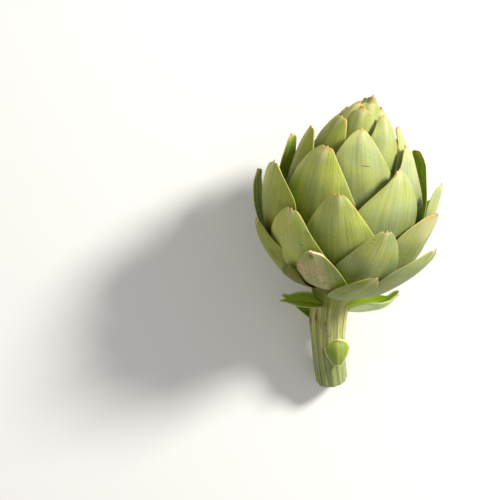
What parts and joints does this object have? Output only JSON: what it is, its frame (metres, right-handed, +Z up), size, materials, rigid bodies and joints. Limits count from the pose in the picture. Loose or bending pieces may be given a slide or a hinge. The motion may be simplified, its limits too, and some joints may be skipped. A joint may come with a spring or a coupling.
{
  "type": "artichoke",
  "caption": "Whole globe artichoke as picked, lying on its side: a closed head of overlapping green bracts on a short ribbed stem with small leaves.",
  "frame": {"origin": "on the surface that it lies on, in the small flat under the head", "axes": "+Z up from the surface, +Y towards the tip of the head, +X to the right when seen from above with the tip away from the viewer"},
  "size_m": [0.1055, 0.1683, 0.1074],
  "materials": {
    "bract": "matt waxy skin, pale green with fine lengthwise veins, golden margins and tan tips",
    "stem": "matt ribbed skin, yellow-green ridges with darker grooves",
    "leaf": "satin leaf skin, bright green inside and grey-green outside, pale rim"
  },
  "bodies": {
    "root": {"head": "bract", "stem": "stem", "stem_leaf_right": "leaf", "stem_leaf_left": "leaf", "stem_leaf_lower": "leaf", "stem_bud_bract": "leaf"}
  },
  "joints": []
}
